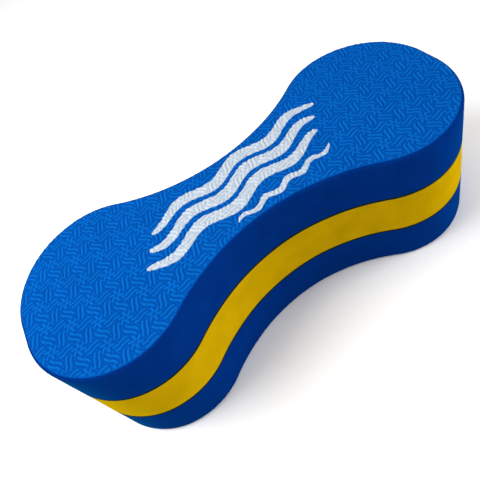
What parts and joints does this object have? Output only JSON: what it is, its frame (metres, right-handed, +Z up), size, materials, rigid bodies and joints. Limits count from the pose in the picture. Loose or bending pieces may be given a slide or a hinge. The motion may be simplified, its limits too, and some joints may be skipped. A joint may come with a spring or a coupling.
{
  "type": "pull buoy",
  "caption": "Figure-eight pull buoy of three laminated closed-cell foam slabs, held between a swimmer's thighs at its narrow waist to keep the legs afloat.",
  "frame": {"origin": "middle of the flat underside, on the surface that the buoy rests on", "axes": "+X runs end to end through both lobes, +Y across the waist, +Z up through the laminated slabs to the printed face"},
  "size_m": [0.24, 0.094, 0.0811],
  "materials": {
    "blue_foam": "matte closed-cell EVA foam",
    "yellow_foam": "matte closed-cell EVA foam",
    "bond_adhesive": "satin set contact adhesive",
    "white_ink": "matte screen-print ink"
  },
  "bodies": {
    "root": {"bottom_foam_slab": "blue_foam", "lower_bond_film": "bond_adhesive", "core_foam_slab": "yellow_foam", "upper_bond_film": "bond_adhesive", "top_foam_slab": "blue_foam", "main_print": "white_ink", "small_print": "white_ink"}
  },
  "joints": []
}
